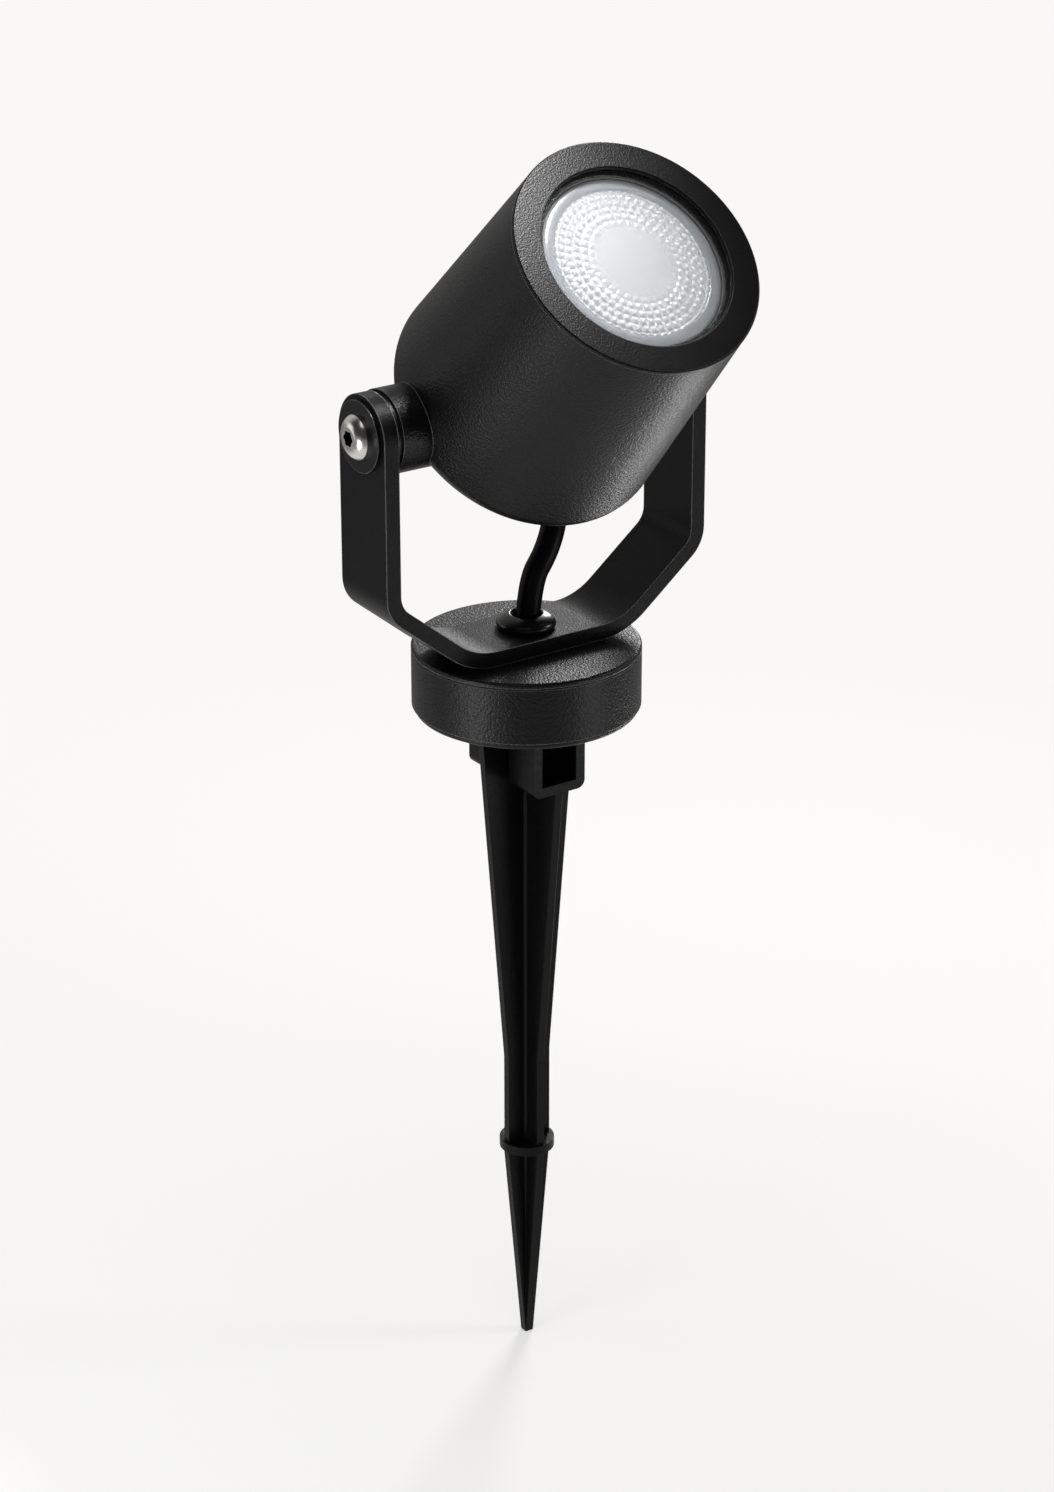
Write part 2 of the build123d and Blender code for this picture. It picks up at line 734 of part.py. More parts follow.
with BuildPart() as pivot_screws:
    pivot_section = Plane(origin=(0, 0, pivot_height), x_dir=(1, 0, 0), z_dir=(0, -1, 0))
    dome_start = screw_seat + screw_head_edge
    dome_top = screw_seat + screw_head_height
    with BuildSketch(pivot_section):
        with BuildLine():
            Polyline(
                (dome_top, screw_head_flat_radius),
                (dome_top, 0),
                (screw_seat - screw_length, 0),
                (screw_seat - screw_length, screw_radius),
                (screw_seat, screw_radius),
                (screw_seat, screw_head_radius),
                (dome_start, screw_head_radius),
            )
            ThreePointArc(
                (dome_start, screw_head_radius),
                (
                    screw_seat + screw_dome_rise * screw_head_height,
                    screw_head_flat_radius + screw_dome_width * (screw_head_radius - screw_head_flat_radius),
                ),
                (dome_top, screw_head_flat_radius),
            )
        make_face()
    revolve(axis=Axis(pivot_section.origin, (1, 0, 0)))
    with BuildSketch(across.offset(dome_top)):
        Circle(screw_socket_radius - screw_socket_lobe_radius / 2)
        with PolarLocations(screw_socket_radius - screw_socket_lobe_radius, 6):
            Circle(screw_socket_lobe_radius)
    extrude(amount=-screw_socket_depth, mode=Mode.SUBTRACT)
    mirror(about=Plane.YZ)
save(pivot_screws, "pivot_screws")

with BuildPart() as pivot_inserts:
    with BuildSketch(across.offset(boss_outer)):
        Circle(insert_radius)
        Circle(screw_radius + running_clearance, mode=Mode.SUBTRACT)
    extrude(amount=-insert_length)
    mirror(about=Plane.YZ)
save(pivot_inserts, "pivot_inserts")

# ---------------------------------------------------------------- head shell and front

with BuildPart() as head_shell:
    with BuildSketch(across.offset(boss_inner_end)):
        Circle(boss_radius)
    extrude(amount=boss_outer - boss_inner_end)
    fillet(head_shell.edges().group_by(Axis.X)[0], boss_end_radius)
    mirror(about=Plane.YZ)
    edge_start = head_rear_radius - head_edge_radius
    edge_end = head_edge_radius - head_rear
    edge_middle = (edge_start + head_edge_radius * sin(pi / 4), edge_end - head_edge_radius * cos(pi / 4))
    with BuildSketch(head_section):
        with BuildLine():
            ThreePointArc((edge_start, -head_rear), edge_middle, (head_rear_radius, edge_end))
            Polyline(
                (head_rear_radius, edge_end),
                (head_front_radius, ring_seat),
                (ring_seal_radius, ring_seat),
                (ring_seal_radius, ring_seat - ring_seal_thickness),
                (ring_seal_radius - ring_seal_width, ring_seat - ring_seal_thickness),
                (ring_seal_radius - ring_seal_width, ring_seat),
                (ring_skirt_radius + running_clearance, ring_seat),
                (ring_skirt_radius + running_clearance, skirt_end - seat_clearance),
                (skirt_inner_radius - channel_clearance, skirt_end - seat_clearance),
                (skirt_inner_radius - channel_clearance, shoulder),
                (lamp_bay_radius, shoulder),
                (lamp_bay_radius, skirt_end - head_wall),
                (head_front_radius - head_wall, skirt_end - 3 * head_wall),
                (head_rear_radius - head_wall, cavity_back + head_edge_radius / 2),
                (head_rear_radius - head_wall - head_edge_radius / 2, cavity_back),
                (0, cavity_back),
                (0, -head_rear),
                (edge_start, -head_rear),
            )
        make_face()
    revolve(axis=head_axis)
    with BuildSketch(head.offset(cavity_back)):
        with Locations(*plate_screw_places):
            Circle(plate_post_radius)
    extrude(amount=plate_back - cavity_back)
    with BuildSketch(head.offset(cavity_back)):
        with Locations(earth_place):
            Circle(earth_post_radius)
    extrude(amount=earth_post_height)
    with BuildSketch(head.offset(plate_back)):
        with Locations(*plate_screw_places):
            Circle(plate_screw_radius + running_clearance)
    extrude(amount=-(plate_screw_length - plate_thickness + seat_clearance), mode=Mode.SUBTRACT)
    with BuildSketch(head.offset(cavity_back + earth_post_height)):
        with Locations(earth_place):
            Circle(earth_screw_radius + running_clearance)
    extrude(amount=-earth_screw_length, mode=Mode.SUBTRACT)
    with BuildSketch(head.offset(-head_rear)):
        Circle(gland_neck_radius + running_clearance)
    extrude(amount=head_rear_wall, mode=Mode.SUBTRACT)
    with BuildSketch(across.offset(screw_seat - screw_length - seat_clearance)):
        Circle(screw_radius + seat_clearance)
    extrude(amount=screw_length, mode=Mode.SUBTRACT)
    with BuildSketch(across.offset(-(screw_seat - screw_length - seat_clearance))):
        Circle(screw_radius + seat_clearance)
    extrude(amount=-screw_length, mode=Mode.SUBTRACT)
    for side in (-1, 1):
        with BuildSketch(across.offset(side * boss_outer)):
            Circle(insert_radius + running_clearance)
        extrude(amount=-side * insert_length, mode=Mode.SUBTRACT)
save(head_shell, "head_shell")

with BuildPart() as front_ring:
    with BuildSketch(head_section):
        outline(
            (ring_skirt_radius, skirt_end),
            (ring_skirt_radius, ring_seat),
            (head_front_radius, ring_seat),
            (head_front_radius, head_front - ring_edge_chamfer),
            (head_front_radius - ring_edge_chamfer, head_front),
            (ring_opening_radius + ring_bevel, head_front),
            (ring_opening_radius, head_front - ring_bevel),
            (ring_opening_radius, glass_front),
            (skirt_inner_radius, glass_front),
            (skirt_inner_radius, skirt_end),
        )
    revolve(axis=head_axis)
save(front_ring, "front_ring")

with BuildPart() as ring_seal:
    with BuildSketch(head_section):
        band(
            ring_seal_radius - ring_seal_width,
            ring_seal_radius,
            ring_seat - ring_seal_thickness,
            ring_seat,
        )
    revolve(axis=head_axis)
save(ring_seal, "ring_seal")

with BuildPart() as front_glass:
    with BuildSketch(head.offset(glass_back)):
        Circle(glass_radius)
    extrude(amount=glass_thickness)
save(front_glass, "front_glass")

with BuildPart() as glass_gasket:
    with BuildSketch(head_section):
        band(glass_radius - glass_gasket_width, glass_radius, shoulder, glass_back)
    revolve(axis=head_axis)
save(glass_gasket, "glass_gasket")

# ---------------------------------------------------------------- lamp

with BuildPart() as lamp_lens:
    with BuildSketch(head_section):
        outline(
            (0, lens_back),
            (lamp_radius, lens_back),
            (lamp_radius, lamp_front),
            (lens_pattern_radius, lamp_front),
            (lens_pattern_radius - lens_recess, lamp_front - lens_recess),
            (0, lamp_front - lens_recess),
        )
    revolve(axis=head_axis)
save(lamp_lens, "lamp_lens")

with BuildPart() as lamp_body:
    with BuildSketch(head_section):
        outline(
            (lamp_radius, lens_back),
            (lamp_radius, lens_back - lamp_body_rim),
            (lamp_neck_radius, lamp_neck),
            (lamp_neck_radius, lamp_base_top),
            (lamp_neck_radius - lamp_shell_wall, lamp_base_top),
            (lamp_neck_radius - lamp_shell_wall, lamp_neck),
            (board_seat_radius, board_seat),
            (board_radius + seat_clearance, board_seat),
            (lamp_radius - lamp_shell_wall, lens_back - lamp_body_rim),
            (lamp_radius - lamp_shell_wall, lens_back),
        )
    revolve(axis=head_axis)
save(lamp_body, "lamp_body")

with BuildPart() as led_board:
    with BuildSketch(head.offset(board_seat)):
        Circle(board_radius)
    extrude(amount=board_thickness)
save(led_board, "led_board")

with BuildPart() as led_emitter:
    with BuildSketch(head.offset(board_seat + board_thickness)):
        Circle(emitter_radius)
    extrude(amount=emitter_thickness)
save(led_emitter, "led_emitter")

with BuildPart() as lamp_base:
    with BuildSketch(head_section):
        band(0, lamp_neck_radius, lamp_base_end, lamp_base_top)
        band(0, lamp_neck_radius - lamp_shell_wall - running_clearance, lamp_base_end, lamp_neck)
    revolve(axis=head_axis)
save(lamp_base, "lamp_base")

with BuildPart() as lamp_pins:
    with BuildSketch(head.offset(lamp_base_end)):
        with Locations((pin_spacing / 2, 0), (-pin_spacing / 2, 0)):
            Circle(pin_radius)
    extrude(amount=-pin_length)
    with BuildSketch(head.offset(pin_end)):
        with Locations((pin_spacing / 2, 0), (-pin_spacing / 2, 0)):
            Circle(pin_head_radius)
    extrude(amount=pin_head_length)
save(lamp_pins, "lamp_pins")

with BuildPart() as lamp_holder:
    with BuildSketch(head.offset(holder_back)):
        Circle(holder_radius)
    extrude(amount=holder_length)
    with BuildSketch(head.offset(lamp_base_end)):
        with Locations((pin_spacing / 2, 0), (-pin_spacing / 2, 0)):
            Circle(pin_head_radius + seat_clearance)
    extrude(amount=-(pin_length + seat_clearance), mode=Mode.SUBTRACT)
    with BuildSketch(head.offset(holder_back)):
        with Locations((holder_core_place, 0), (-holder_core_place, 0)):
            Circle(core_radius + seat_clearance)
    extrude(amount=holder_core_depth, mode=Mode.SUBTRACT)
    with BuildSketch(head.offset(holder_back)):
        with Locations(*holder_screw_places):
            Circle(plate_screw_radius + running_clearance)
    extrude(amount=holder_screw_length, mode=Mode.SUBTRACT)
save(lamp_holder, "lamp_holder")

with BuildPart() as holder_plate:
    with BuildSketch(head.offset(plate_back)):
        RectangleRounded(plate_width, plate_post_spacing + 3 * plate_post_radius, plate_post_radius)
        Circle(plate_hole_radius, mode=Mode.SUBTRACT)
        with Locations(*plate_screw_places, *holder_screw_places):
            Circle(plate_screw_radius + seat_clearance / 2, mode=Mode.SUBTRACT)
    extrude(amount=plate_thickness)
save(holder_plate, "holder_plate")

with BuildPart() as plate_screws:
    with BuildSketch(head.offset(holder_back)):
        with Locations(*plate_screw_places):
            Circle(small_head_radius)
    extrude(amount=small_head_height)
    with BuildSketch(head.offset(holder_back)):
        with Locations(*plate_screw_places):
            Circle(plate_screw_radius)
    extrude(amount=-plate_screw_length)
save(plate_screws, "plate_screws")

with BuildPart() as holder_screws:
    with BuildSketch(head.offset(plate_back)):
        with Locations(*holder_screw_places):
            Circle(small_head_radius)
    extrude(amount=-small_head_height)
    with BuildSketch(head.offset(plate_back)):
        with Locations(*holder_screw_places):
            Circle(plate_screw_radius)
    extrude(amount=holder_screw_length)
save(holder_screws, "holder_screws")

with BuildPart() as earth_lug:
    with BuildSketch(head.offset(cavity_back + earth_post_height)) as lug_outline:
        with Locations(earth_place):
            Circle(earth_head_radius)
        with Locations(earth_tail_middle):
            Rectangle(earth_tail_length, earth_tail_width, rotation=-earth_angle)
        with Locations(earth_place):
            Circle(earth_screw_radius + running_clearance, mode=Mode.SUBTRACT)
    extrude(amount=earth_lug_thickness)
save(earth_lug, "earth_lug")

with BuildPart() as earth_screw:
    with BuildSketch(head.offset(earth_lug_top)):
        with Locations(earth_place):
            Circle(earth_head_radius)
    extrude(amount=earth_head_height)
    with BuildSketch(head.offset(earth_lug_top)):
        with Locations(earth_place):
            Circle(earth_screw_radius)
    extrude(amount=-earth_screw_length)
save(earth_screw, "earth_screw")

# ---------------------------------------------------------------- gland behind the head

with BuildPart() as gland_body:
    with BuildSketch(head_section):
        band(gland_hole_radius, gland_tail_radius, gland_tail_end, gland_tail_start)
        band(gland_hole_radius, gland_flange_radius, gland_tail_start, -head_rear)
        band(gland_hole_radius, gland_neck_radius, -head_rear, gland_neck_end)
    revolve(axis=head_axis)
    with BuildSketch(head.offset(gland_tail_end)):
        Circle(gland_bore_radius)
    extrude(amount=gland_seal_length, mode=Mode.SUBTRACT)
save(gland_body, "gland_body")

with BuildPart() as gland_cap:
    with BuildSketch(head_section):
        band(gland_tail_radius + running_clearance, gland_cap_radius, gland_cap_end, gland_cap_start)
        band(
            lead_radius + seat_clearance,
            gland_cap_radius,
            gland_cap_end,
            gland_cap_end + gland_cap_end_thickness,
        )
    revolve(axis=head_axis)
    cap_rim = gland_cap.edges().filter_by(GeomType.CIRCLE).group_by(SortBy.RADIUS)[-1]
    fillet(cap_rim.sort_by(Axis(head.origin, head.z_dir))[0], gland_cap_edge_radius)
save(gland_cap, "gland_cap")

with BuildPart() as gland_seal:
    with BuildSketch(head_section):
        band(
            lead_radius + running_clearance,
            gland_bore_radius - running_clearance,
            gland_cap_end + gland_cap_end_thickness,
            gland_tail_end + gland_seal_length,
        )
    revolve(axis=head_axis)
save(gland_seal, "gland_seal")

with BuildPart() as gland_locknut:
    with BuildSketch(head.offset(cavity_back)):
        RegularPolygon(gland_locknut_across_flats / 2, 6, major_radius=False)
        Circle(gland_neck_radius + running_clearance, mode=Mode.SUBTRACT)
    extrude(amount=gland_locknut_thickness)
save(gland_locknut, "gland_locknut")

# ---------------------------------------------------------------- lead and cores

lead_route = [
    (0, 0, lead_bottom),
    (0, 0, 36.0),
    (6.4, -2.0, 47.5),
    (10.7, 0.4, 58.5),
    (5.5, 10.0, 68.5),
    in_head(0, 0, -lead_straight),
    in_head(0, 0, lead_top),
]
lead_tube = tube("lead", lead_route, lead_radius)
with BuildPart() as flex_lead:
    add(lead_tube)
save(flex_lead, "flex_lead")

head_core_tubes = [
    tube(
        "head core",
        [
            in_head(side * core_x, core_y, lead_top),
            in_head(side * core_x, core_y, gland_neck_end + core_drop),
            in_head(side * holder_core_place, 0, plate_back - core_drop),
            in_head(side * holder_core_place, 0, holder_back + holder_core_depth / 2),
        ],
        core_radius,
    )
    for side, core_x, core_y in head_core_places
]
with BuildPart() as head_cores:
    add(head_core_tubes)
save(head_cores, "head_cores")

tail_near = earth_tail_reach - earth_tail_length / 2
earth_route = [
    in_head(*head_earth_place, lead_top),
    in_head(*head_earth_place, earth_lug_top + 2 * core_radius),
    in_head(*[tail_near * part for part in earth_direction], earth_lug_top + earth_core_lift * core_radius),
    in_head(*earth_tail_middle, earth_lug_top + core_radius),
]
earth_tube = tube("earth core", earth_route, core_radius)
with BuildPart() as earth_core:
    add(earth_tube)
save(earth_core, "earth_core")
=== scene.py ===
"""Looks of a garden spike spotlight: camera, studio, lead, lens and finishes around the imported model.

Metres, in the model's own frame: the origin is on the spike's axis at the underside of the base, +Z up,
the yoke's tilt axis parallel to X, and the lamp facing -Y.
"""
from math import cos, pi, radians, sin

import bpy
import numpy as np
from mathutils import Matrix, Vector


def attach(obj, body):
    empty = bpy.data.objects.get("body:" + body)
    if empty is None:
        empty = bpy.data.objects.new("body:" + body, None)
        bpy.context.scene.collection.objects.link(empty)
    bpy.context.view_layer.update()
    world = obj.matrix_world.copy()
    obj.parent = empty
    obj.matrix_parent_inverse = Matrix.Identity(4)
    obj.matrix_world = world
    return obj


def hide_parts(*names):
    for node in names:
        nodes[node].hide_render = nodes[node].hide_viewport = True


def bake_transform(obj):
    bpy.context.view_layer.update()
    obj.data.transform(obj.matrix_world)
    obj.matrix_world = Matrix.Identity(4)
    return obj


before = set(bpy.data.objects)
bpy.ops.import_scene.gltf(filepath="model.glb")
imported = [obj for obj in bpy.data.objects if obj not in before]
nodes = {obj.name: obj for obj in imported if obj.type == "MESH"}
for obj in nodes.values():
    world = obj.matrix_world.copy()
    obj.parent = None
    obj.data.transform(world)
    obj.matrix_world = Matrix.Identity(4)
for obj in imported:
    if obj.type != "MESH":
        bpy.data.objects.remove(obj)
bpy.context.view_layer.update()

# Sizes that the new pieces and finishes share with the model, in metres. The lens's face and back are given
# forwards from the tilt axis, and the flat of the screws' heads sideways from the middle of the yoke.
pivot_height = 0.0905
tilt = radians(46)
lead_radius = 0.0035
lens_radius = 0.0256
lens_face = 0.0707
lens_back = 0.0683
floor_level = -0.205
screw_socket_radius = 0.0024
screw_face = 0.0571

# The head's own directions, and the middle of its tilt axis
head_forward = np.array([0.0, -cos(tilt), sin(tilt)])
head_up = np.array([0.0, sin(tilt), cos(tilt)])
head_side = np.array([1.0, 0.0, 0.0])
pivot = np.array([0.0, 0.0, pivot_height])


def in_head(x, y, z):
    """Points given in the head's own frame, x across, y up and z forwards from the tilt axis, in the
    model's frame: the pivot plus each part times its direction."""
    x, y, z = (np.asarray(part, float)[..., None] for part in np.broadcast_arrays(x, y, z))
    return pivot + x * head_side + y * head_up + z * head_forward


# ---------------------------------------------------------------- camera

view_azimuth = radians(-34.2)
view_elevation = radians(23.27)
view_roll = radians(-0.05)
view_distance = 1.0837
view_lens = 92.02
view_sensor = 36
view_reach = 50
view_target = Vector((0.0001, -0.0001, -0.0122))


def place_camera():
    """Stands the camera at its distance from the target, along the line that azimuth and elevation give."""
    back = Vector(
        (
            sin(view_azimuth) * cos(view_elevation),
            -cos(view_azimuth) * cos(view_elevation),
            sin(view_elevation),
        )
    )
    level = Vector((cos(view_azimuth), sin(view_azimuth), 0))
    right = cos(view_roll) * level + sin(view_roll) * back.cross(level)
    up = back.cross(right)
    lens = bpy.data.cameras.new("photo_camera")
    lens.lens = view_lens
    lens.sensor_width = view_sensor
    lens.clip_end = view_reach
    camera = bpy.data.objects.new("photo_camera", lens)
    bpy.context.scene.collection.objects.link(camera)
    camera.matrix_world = Matrix((right, up, back)).transposed().to_4x4()
    camera.matrix_world.translation = view_target + back * view_distance
    bpy.context.scene.camera = camera


place_camera()

# ---------------------------------------------------------------- shared mesh code


def put_mesh(name, points, faces, smooth=True):
    """Object with these corners, an array of rows of three, and these faces."""
    mesh = bpy.data.meshes.new(name)
    mesh.from_pydata(np.asarray(points).tolist(), [], faces)
    mesh.validate()
    mesh.polygons.foreach_set("use_smooth", np.full(len(mesh.polygons), smooth))
    mesh.update()
    piece = bpy.data.objects.new(name, mesh)
    bpy.context.scene.collection.objects.link(piece)
    return piece


def ring_faces(rings, around):
    """Faces of a grid of rings of so many points each, where the last point of a ring meets its first, with
    one face across the first ring and one across the last."""
    ring, step = np.meshgrid(np.arange(rings - 1), np.arange(around), indexing="ij")
    here = ring * around + step
    beside = ring * around + (step + 1) % around
    sides = np.stack([here, beside, beside + around, here + around], axis=-1).reshape(-1, 4).tolist()
    first = np.arange(around)[::-1].tolist()
    last = ((rings - 1) * around + np.arange(around)).tolist()
    return [*sides, first, last]


# ---------------------------------------------------------------- lead

# Route of the lead out of the stem, through the open and into the gland, as control points of its line
lead_route = [
    (0.0, 0.0, 0.012),
    (0.0, 0.0, 0.036),
    (0.0064, -0.0020, 0.0475),
    (0.0107, 0.0004, 0.0585),
    (0.0055, 0.0100, 0.0685),
    tuple(in_head(0, 0, -0.019)),
    tuple(in_head(0, 0, 0.001)),
]

# Steps of the line from one control point to the next, sides of the sheath, and the share of its radius that
# the small circle at each end has
lead_steps = 24
lead_sides = 40
lead_end_share = 0.3


def smooth_line(name, points):
    """Points along the smooth spline that has the route's points as its control points."""
    line = bpy.data.curves.new(name, "CURVE")
    line.dimensions = "3D"
    line.resolution_u = lead_steps
    spline = line.splines.new("NURBS")
    spline.points.add(len(points) - 1)
    for corner, place in zip(spline.points, points):
        corner.co = (*place, 1)
    spline.order_u = 3
    spline.use_endpoint_u = True
    holder = bpy.data.objects.new(name, line)
    bpy.context.scene.collection.objects.link(holder)
    mesh = bpy.data.meshes.new_from_object(holder)
    path = np.array([corner.co for corner in mesh.vertices])
    bpy.data.objects.remove(holder)
    bpy.data.meshes.remove(mesh)
    bpy.data.curves.remove(line)
    return path


def make_lead():
    """Sheath of the lead: each point of the path carries a circle, radius times the cosine of the turn along
    a first normal plus its sine along a second. The first is the path's direction crossed with X, the second
    the direction crossed with the first. A smaller circle in the plane of each end closes it."""
    path = smooth_line("lead_route", lead_route)
    along = np.gradient(path, axis=0)
    along /= np.linalg.norm(along, axis=1)[:, None]
    first = np.cross(along, head_side)
    first /= np.linalg.norm(first, axis=1)[:, None]
    second = np.cross(along, first)
    turn = np.linspace(0, 2 * pi, lead_sides, endpoint=False)[None, :, None]
    rim = path[:, None] + lead_radius * (np.cos(turn) * first[:, None] + np.sin(turn) * second[:, None])
    inner = path[:, None] + lead_end_share * (rim - path[:, None])
    rings = np.concatenate([inner[:1], rim, inner[-1:]])
    lead = put_mesh("lead_sheath", rings.reshape(-1, 3), ring_faces(len(rings), lead_sides))
    tuple(in_head(0, 0, -0.0165))
    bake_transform(lead)
    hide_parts("flex_lead")
    return lead


lead = make_lead()

# ---------------------------------------------------------------- lamp's lens

# Grid of the lens, and the small flat middle that closes it in front and behind
lens_sides = 480
pattern_rings = 86
lens_centre_radius = 0.0004

# Pattern: its outer radius, the crown that it lies on, its rows and pillows, and its smooth centre
pattern_radius = 0.0217
pattern_drop = 0.0002
crown_height = 0.0012
row_width = 0.00212
pillow_height = 0.0006
pillow_fullness = 0.6
pillow_width_in_rows = 1.08
fewest_pillows = 6
smooth_radius = 0.0095
fade_width = 0.006

# Radius and height of the lens from the middle of its back, round the rim, to the pattern's outer edge
lens_profile = np.array(
    [
        (lens_centre_radius, lens_back - lens_face),
        (lens_radius, lens_back - lens_face),
        (lens_radius, -0.0003),
        (lens_radius - 0.0003, 0.0),
        (0.0245, 0.0003),
        (0.0232, 0.0003),
        (0.0222, 0.0003),
        (0.0219, 0.00005),
    ]
)


def make_lens():
    """Lens of the lamp, a disc turned about the head's axis. Its back and rim are a profile of radius and
    height. Its front face is a function of radius and angle: rows of small pillows on a crown that falls
    with the square of the radius. A pillow is as high as the product of two cosine arches, one over the
    row's width and one over the pillow's share of the turn, raised to a power below one. The pillows are
    offset by half a pillow from one row to the next, and their height fades out to a smooth centre."""
    turn = np.linspace(0, 2 * pi, lens_sides, endpoint=False)
    pattern_radii = np.linspace(pattern_radius, lens_centre_radius, pattern_rings)
    radius, angle = np.meshgrid(pattern_radii, turn, indexing="ij")
    row = np.floor(radius / row_width)
    across_row = np.cos(pi * (radius / row_width - row - 0.5))
    pillows = np.maximum(np.round(2 * pi * (row + 0.5) / pillow_width_in_rows), fewest_pillows)
    share = angle / (2 * pi) * pillows + 0.5 * (row % 2)
    across_pillow = np.cos(pi * (share - np.floor(share) - 0.5))
    fade = np.clip((radius - smooth_radius) / fade_width, 0, 1)
    crown = crown_height * (1 - (radius / pattern_radius) ** 2)
    pattern = crown + pillow_height * fade * (across_row * across_pillow) ** pillow_fullness - pattern_drop
    radii = np.concatenate([lens_profile[:, 0], pattern_radii])
    heights = np.concatenate([np.repeat(lens_profile[:, 1:], lens_sides, axis=1), pattern])
    points = in_head(
        radii[:, None] * np.cos(turn), radii[:, None] * np.sin(turn), lens_face - crown_height + heights
    )
    lens = put_mesh("lamp_lens_face", points.reshape(-1, 3), ring_faces(len(radii), lens_sides))
    radius_share = lens.data.attributes.new("radius_share", "FLOAT", "POINT")
    radius_share.data.foreach_set("value", np.repeat(radii / lens_radius, lens_sides))
    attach(lens, "head")
    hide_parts("lamp_lens")
    return lens


lens = make_lens()

# ---------------------------------------------------------------- shared material code


def new_group(name, inputs, outputs):
    """Empty node group with these sockets, given as name, type and default value."""
    group = bpy.data.node_groups.new(name, "ShaderNodeTree")
    for label, kind, value in inputs:
        socket = group.interface.new_socket(label, in_out="INPUT", socket_type=kind)
        if value is not None:
            socket.default_value = value
    for label, kind in outputs:
        group.interface.new_socket(label, in_out="OUTPUT", socket_type=kind)
    return group, group.nodes.new("NodeGroupInput"), group.nodes.new("NodeGroupOutput")


def new_material(name):
    """New material, its node tree and its Principled shader."""
    material = bpy.data.materials.new(name)
    material.use_nodes = True
    return material, material.node_tree, material.node_tree.nodes["Principled BSDF"]


def feed(tree, node, inputs):
    """Links each named or numbered input of a node where it is given a socket, and sets it where it is
    given a value."""
    for label, value in inputs.items():
        if isinstance(value, bpy.types.NodeSocket):
            tree.links.new(value, node.inputs[label])
        else:
            node.inputs[label].default_value = value


def add_node(tree, kind, inputs=None, **settings):
    """New node of this kind with these settings and inputs."""
    node = tree.nodes.new(kind)
    for label, value in settings.items():
        setattr(node, label, value)
    feed(tree, node, inputs or {})
    return node


def math_node(tree, operation, first, second=None):
    """Output of a math node, whose inputs are sockets or plain numbers."""
    inputs = {0: first} if second is None else {0: first, 1: second}
    return add_node(tree, "ShaderNodeMath", inputs, operation=operation).outputs[0]


def vector_node(tree, operation, inputs, output):
    """Named output of a vector math node."""
    return add_node(tree, "ShaderNodeVectorMath", inputs, operation=operation).outputs[output]


def noise_node(tree, place, scale, detail):
    """Output of a noise over the surface."""
    return add_node(
        tree, "ShaderNodeTexNoise", {"Vector": place, "Scale": scale, "Detail": detail}
    ).outputs["Fac"]


def smooth_range(tree, value, start, end, low=0.0, high=1.0):
    """Output that goes smoothly from low to high as the value goes from start to end."""
    inputs = {"Value": value, "From Min": start, "From Max": end, "To Min": low, "To Max": high}
    return add_node(tree, "ShaderNodeMapRange", inputs, interpolation_type="SMOOTHSTEP").outputs["Result"]


def object_place(tree):
    """Output that gives the place on the surface in the object's own coordinates."""
    return tree.nodes.new("ShaderNodeTexCoord").outputs["Object"]


def mix_shaders(tree, factor, first, second):
    """Output of a mix of two shaders."""
    return add_node(tree, "ShaderNodeMixShader", {0: factor, 1: first, 2: second}).outputs[0]


def blend_colours(tree, factor, first, second):
    """Output of a mix of two colours, each a socket or a tuple of three. The node's sockets share their
    names with those for numbers and vectors, so its colours are found by their places."""
    factor_in, first_in, second_in, colour_out = 0, 6, 7, 2
    first, second = ((*value, 1) if isinstance(value, tuple) else value for value in (first, second))
    inputs = {factor_in: factor, first_in: first, second_in: second}
    return add_node(tree, "ShaderNodeMix", inputs, data_type="RGBA").outputs[colour_out]


def blend_base_colour(tree, shader, factor, colour):
    """Blends what feeds a shader's base colour to another colour."""
    base = shader.inputs["Base Color"]
    tree.links.new(blend_colours(tree, factor, base.links[0].from_socket, colour), base)


# ---------------------------------------------------------------- finishes

# Grain of the coats: the softness of its cells, the shares of its patterns and the mottle's scale
cell_smoothness = 0.6
cell_share = 0.7
mottle_share = 0.6
wrinkle_share = 0.4
mottle_scale = 90

# Edges: how finely they are rounded, and how far the rounded normal leaves the plain one where the painted
# edge highlight starts and where it is full, as the cosine of the angle between the two
edge_samples = 6
highlight_start = 0.97
highlight_end = 0.8

# Smear on the pane: its scale, and the roughness that it reaches
smear_scale = 60
smear_roughness = 0.03

# Lens: how much it mirrors within its pattern, the radii between which its rim begins, and the rim's colour
pattern_metal = 0.35
rim_start = 0.0215
rim_end = 0.022
rim_tone = (0.15, 0.157, 0.17)

# Painted shade within the sockets of the pivot's screws
painted_socket_shade = (0.02, 0.02, 0.02)

# Colours that several finishes share
# Lighter colour painted along the coats' edges as a highlight
edge_highlight_colour = (0.28, 0.28, 0.276)
steel_tone = (0.86, 0.84, 0.81)


